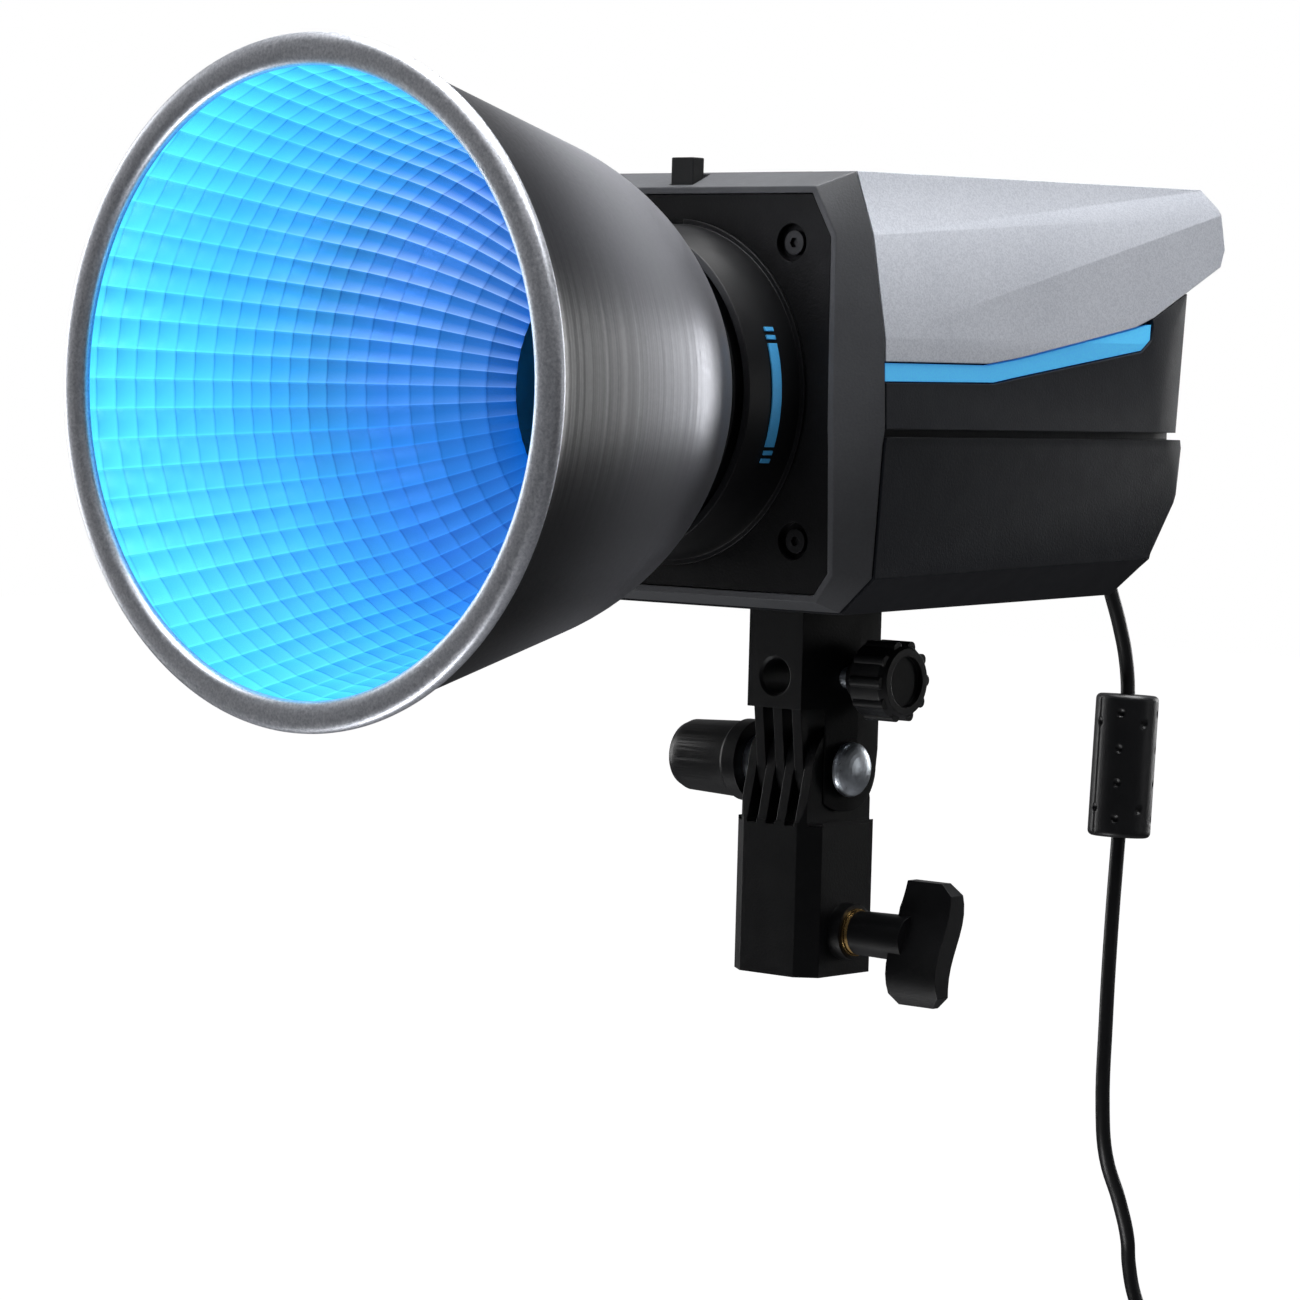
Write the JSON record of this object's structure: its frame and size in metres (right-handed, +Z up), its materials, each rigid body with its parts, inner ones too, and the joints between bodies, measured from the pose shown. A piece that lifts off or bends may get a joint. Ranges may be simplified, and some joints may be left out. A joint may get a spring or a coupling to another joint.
{
  "type": "led spotlight",
  "caption": "LED studio spotlight with a faceted bayonet reflector, hooded silver side panels, a tilting stand bracket with an umbrella hole, and a low-voltage cord.",
  "frame": {"origin": "centre of the mouth of the stand receiver's socket, where a light stand's spigot enters from below", "axes": "+Z up along the stand, -Y the way the beam leaves, +X the side with the clamp knob, the umbrella knob and the tilt bolt's head"},
  "size_m": [0.162, 0.3582, 0.4772],
  "materials": {
    "bracket_black": "satin black, moulded, fine texture",
    "knob_black": "satin black, moulded",
    "brass": "turned, bright",
    "zinc_steel": "zinc plated, bright",
    "bezel_grey": "dark grey, fine texture",
    "plate_black": "black, satin powder coat",
    "collar_black": "black, satin, turned",
    "print_blue": "printed, light blue",
    "reflector_paint": "spun aluminium, dark grey satin outside and bright facets inside",
    "ring_black": "black, turned",
    "tab_black": "satin black",
    "phosphor": "yellow phosphor disc on a ceramic base",
    "holder_white": "white, matt",
    "clear_glass": "clear, polished",
    "sink_aluminium": "extruded, bare",
    "pipe_copper": "bare copper heat pipe",
    "fan_black": "black, moulded",
    "circuit_green": "solder resist with components",
    "body_black": "bluish black, fine texture",
    "panel_silver": "metallic silver paint with a fine grain",
    "accent_blue": "light blue, satin",
    "control_black": "black, matt",
    "screen_black": "black, polished",
    "button_grey": "dark grey rubber",
    "socket_steel": "nickel plated shell",
    "cord_black": "black cord sheath",
    "ferrite_black": "black clip-on shell"
  },
  "bodies": {
    "stand": {"stand_receiver": "bracket_black", "receiver_bush": "brass"},
    "clamp_slider": {"clamp_pad": "brass"},
    "clamp": {"clamp_knob": "knob_black", "clamp_screw": "zinc_steel"},
    "head": {"tilt_bracket": "bracket_black", "tilt_bolt": "zinc_steel", "front_bezel": "bezel_grey", "front_plate": "plate_black", "front_screws": "zinc_steel", "mount_collar": "collar_black", "collar_marks": "print_blue", "release_spring": "zinc_steel", "led_chip": "phosphor", "led_holder": "holder_white", "led_glass": "clear_glass", "heat_sink": "sink_aluminium", "heat_pipes": "pipe_copper", "fan_frame": "fan_black", "driver_board": "circuit_green", "control_board": "circuit_green", "upper_shell": "body_black", "lower_shell": "body_black", "side_panel_left": "panel_silver", "side_panel_right": "panel_silver", "accent_left": "accent_blue", "accent_right": "accent_blue", "top_cover": "body_black", "rear_panel": "control_black", "display": "screen_black", "switch_bezel": "control_black", "power_inlet": "control_black", "data_socket": "socket_steel", "bracket_screws": "zinc_steel", "shell_screws": "zinc_steel", "cord_plug": "cord_black", "cord_tube": "cord_black", "cord_ferrite": "ferrite_black", "cord_coil": "cord_black", "coil_tie": "cord_black", "cord_lead": "cord_black", "cord_connector": "cord_black"},
    "lever": {"tilt_lever": "knob_black", "lever_insert": "zinc_steel", "lever_screw": "zinc_steel"},
    "umbrella_slider": {"umbrella_pad": "brass"},
    "umbrella_clamp": {"umbrella_knob": "knob_black", "umbrella_screw": "zinc_steel"},
    "reflector": {"reflector_bowl": "reflector_paint", "reflector_ring": "ring_black"},
    "release": {"release_tab": "tab_black", "lock_pin": "zinc_steel"},
    "fan": {"fan_rotor": "fan_black"},
    "dimmer": {"dimmer_knob": "control_black"},
    "colour": {"colour_knob": "control_black"},
    "key_left": {"button_left": "button_grey"},
    "key_middle": {"button_middle": "button_grey"},
    "key_right": {"button_right": "button_grey"},
    "rocker": {"power_switch": "control_black"}
  },
  "joints": [
    {"name": "head_tilt", "type": "hinge", "parent": "stand", "child": "head", "pos_m": [0, 0, 0.054], "axis": [1, 0, 0], "range_deg": [-85, 85]},
    {"name": "lever_turn", "type": "hinge", "parent": "head", "child": "lever", "pos_m": [-0.03, 0, 0.054], "axis": [1, 0, 0], "range_deg": [-90, 90]},
    {"name": "clamp_turn", "type": "hinge", "parent": "clamp_slider", "child": "clamp", "pos_m": [0.03, 0, 0.0116], "axis": [1, 0, 0], "range_deg": [-30, 540]},
    {"name": "clamp_travel", "type": "slide", "parent": "stand", "child": "clamp_slider", "axis": [1, 0, 0], "range_m": [-0.0001, 0.00185]},
    {"name": "umbrella_turn", "type": "hinge", "parent": "umbrella_slider", "child": "umbrella_clamp", "pos_m": [0.025, 0, 0.078], "axis": [1, 0, 0], "range_deg": [-612, 90]},
    {"name": "umbrella_travel", "type": "slide", "parent": "head", "child": "umbrella_slider", "axis": [1, 0, 0], "range_m": [-0.00168, 0.00024]},
    {"name": "reflector_twist", "type": "hinge", "parent": "head", "child": "reflector", "pos_m": [0, -0.059, 0.1512], "axis": [0, -1, 0], "range_deg": [0, 60]},
    {"name": "release_slide", "type": "slide", "parent": "head", "child": "release", "axis": [0, 1, 0], "range_m": [0, 0.0018], "stiffness_N_per_m": 600, "springref_m": -0.001, "deforming": ["release_spring"]},
    {"name": "fan_spin", "type": "hinge", "parent": "head", "child": "fan", "pos_m": [0, 0, 0.1512], "axis": [0, 1, 0], "continuous": true},
    {"name": "dimmer_turn", "type": "hinge", "parent": "head", "child": "dimmer", "pos_m": [0.024, 0.08, 0.1392], "axis": [0, 1, 0], "continuous": true},
    {"name": "colour_turn", "type": "hinge", "parent": "head", "child": "colour", "pos_m": [-0.024, 0.08, 0.1392], "axis": [0, 1, 0], "continuous": true},
    {"name": "key_left_press", "type": "slide", "parent": "head", "child": "key_left", "axis": [0, -1, 0], "range_m": [0, 0.0008], "stiffness_N_per_m": 400, "springref_m": -0.0005},
    {"name": "key_middle_press", "type": "slide", "parent": "head", "child": "key_middle", "axis": [0, -1, 0], "range_m": [0, 0.0008], "stiffness_N_per_m": 400, "springref_m": -0.0005},
    {"name": "key_right_press", "type": "slide", "parent": "head", "child": "key_right", "axis": [0, -1, 0], "range_m": [0, 0.0008], "stiffness_N_per_m": 400, "springref_m": -0.0005},
    {"name": "power_rock", "type": "hinge", "parent": "head", "child": "rocker", "pos_m": [0.033, 0.0725, 0.1223], "axis": [0, 0, 1], "range_deg": [0, 16]}
  ],
  "couplings": [
    {"joint": "clamp_turn", "follows": "clamp_travel", "rad_per_m": 5026.6},
    {"joint": "umbrella_turn", "follows": "umbrella_travel", "rad_per_m": 6283.2}
  ]
}
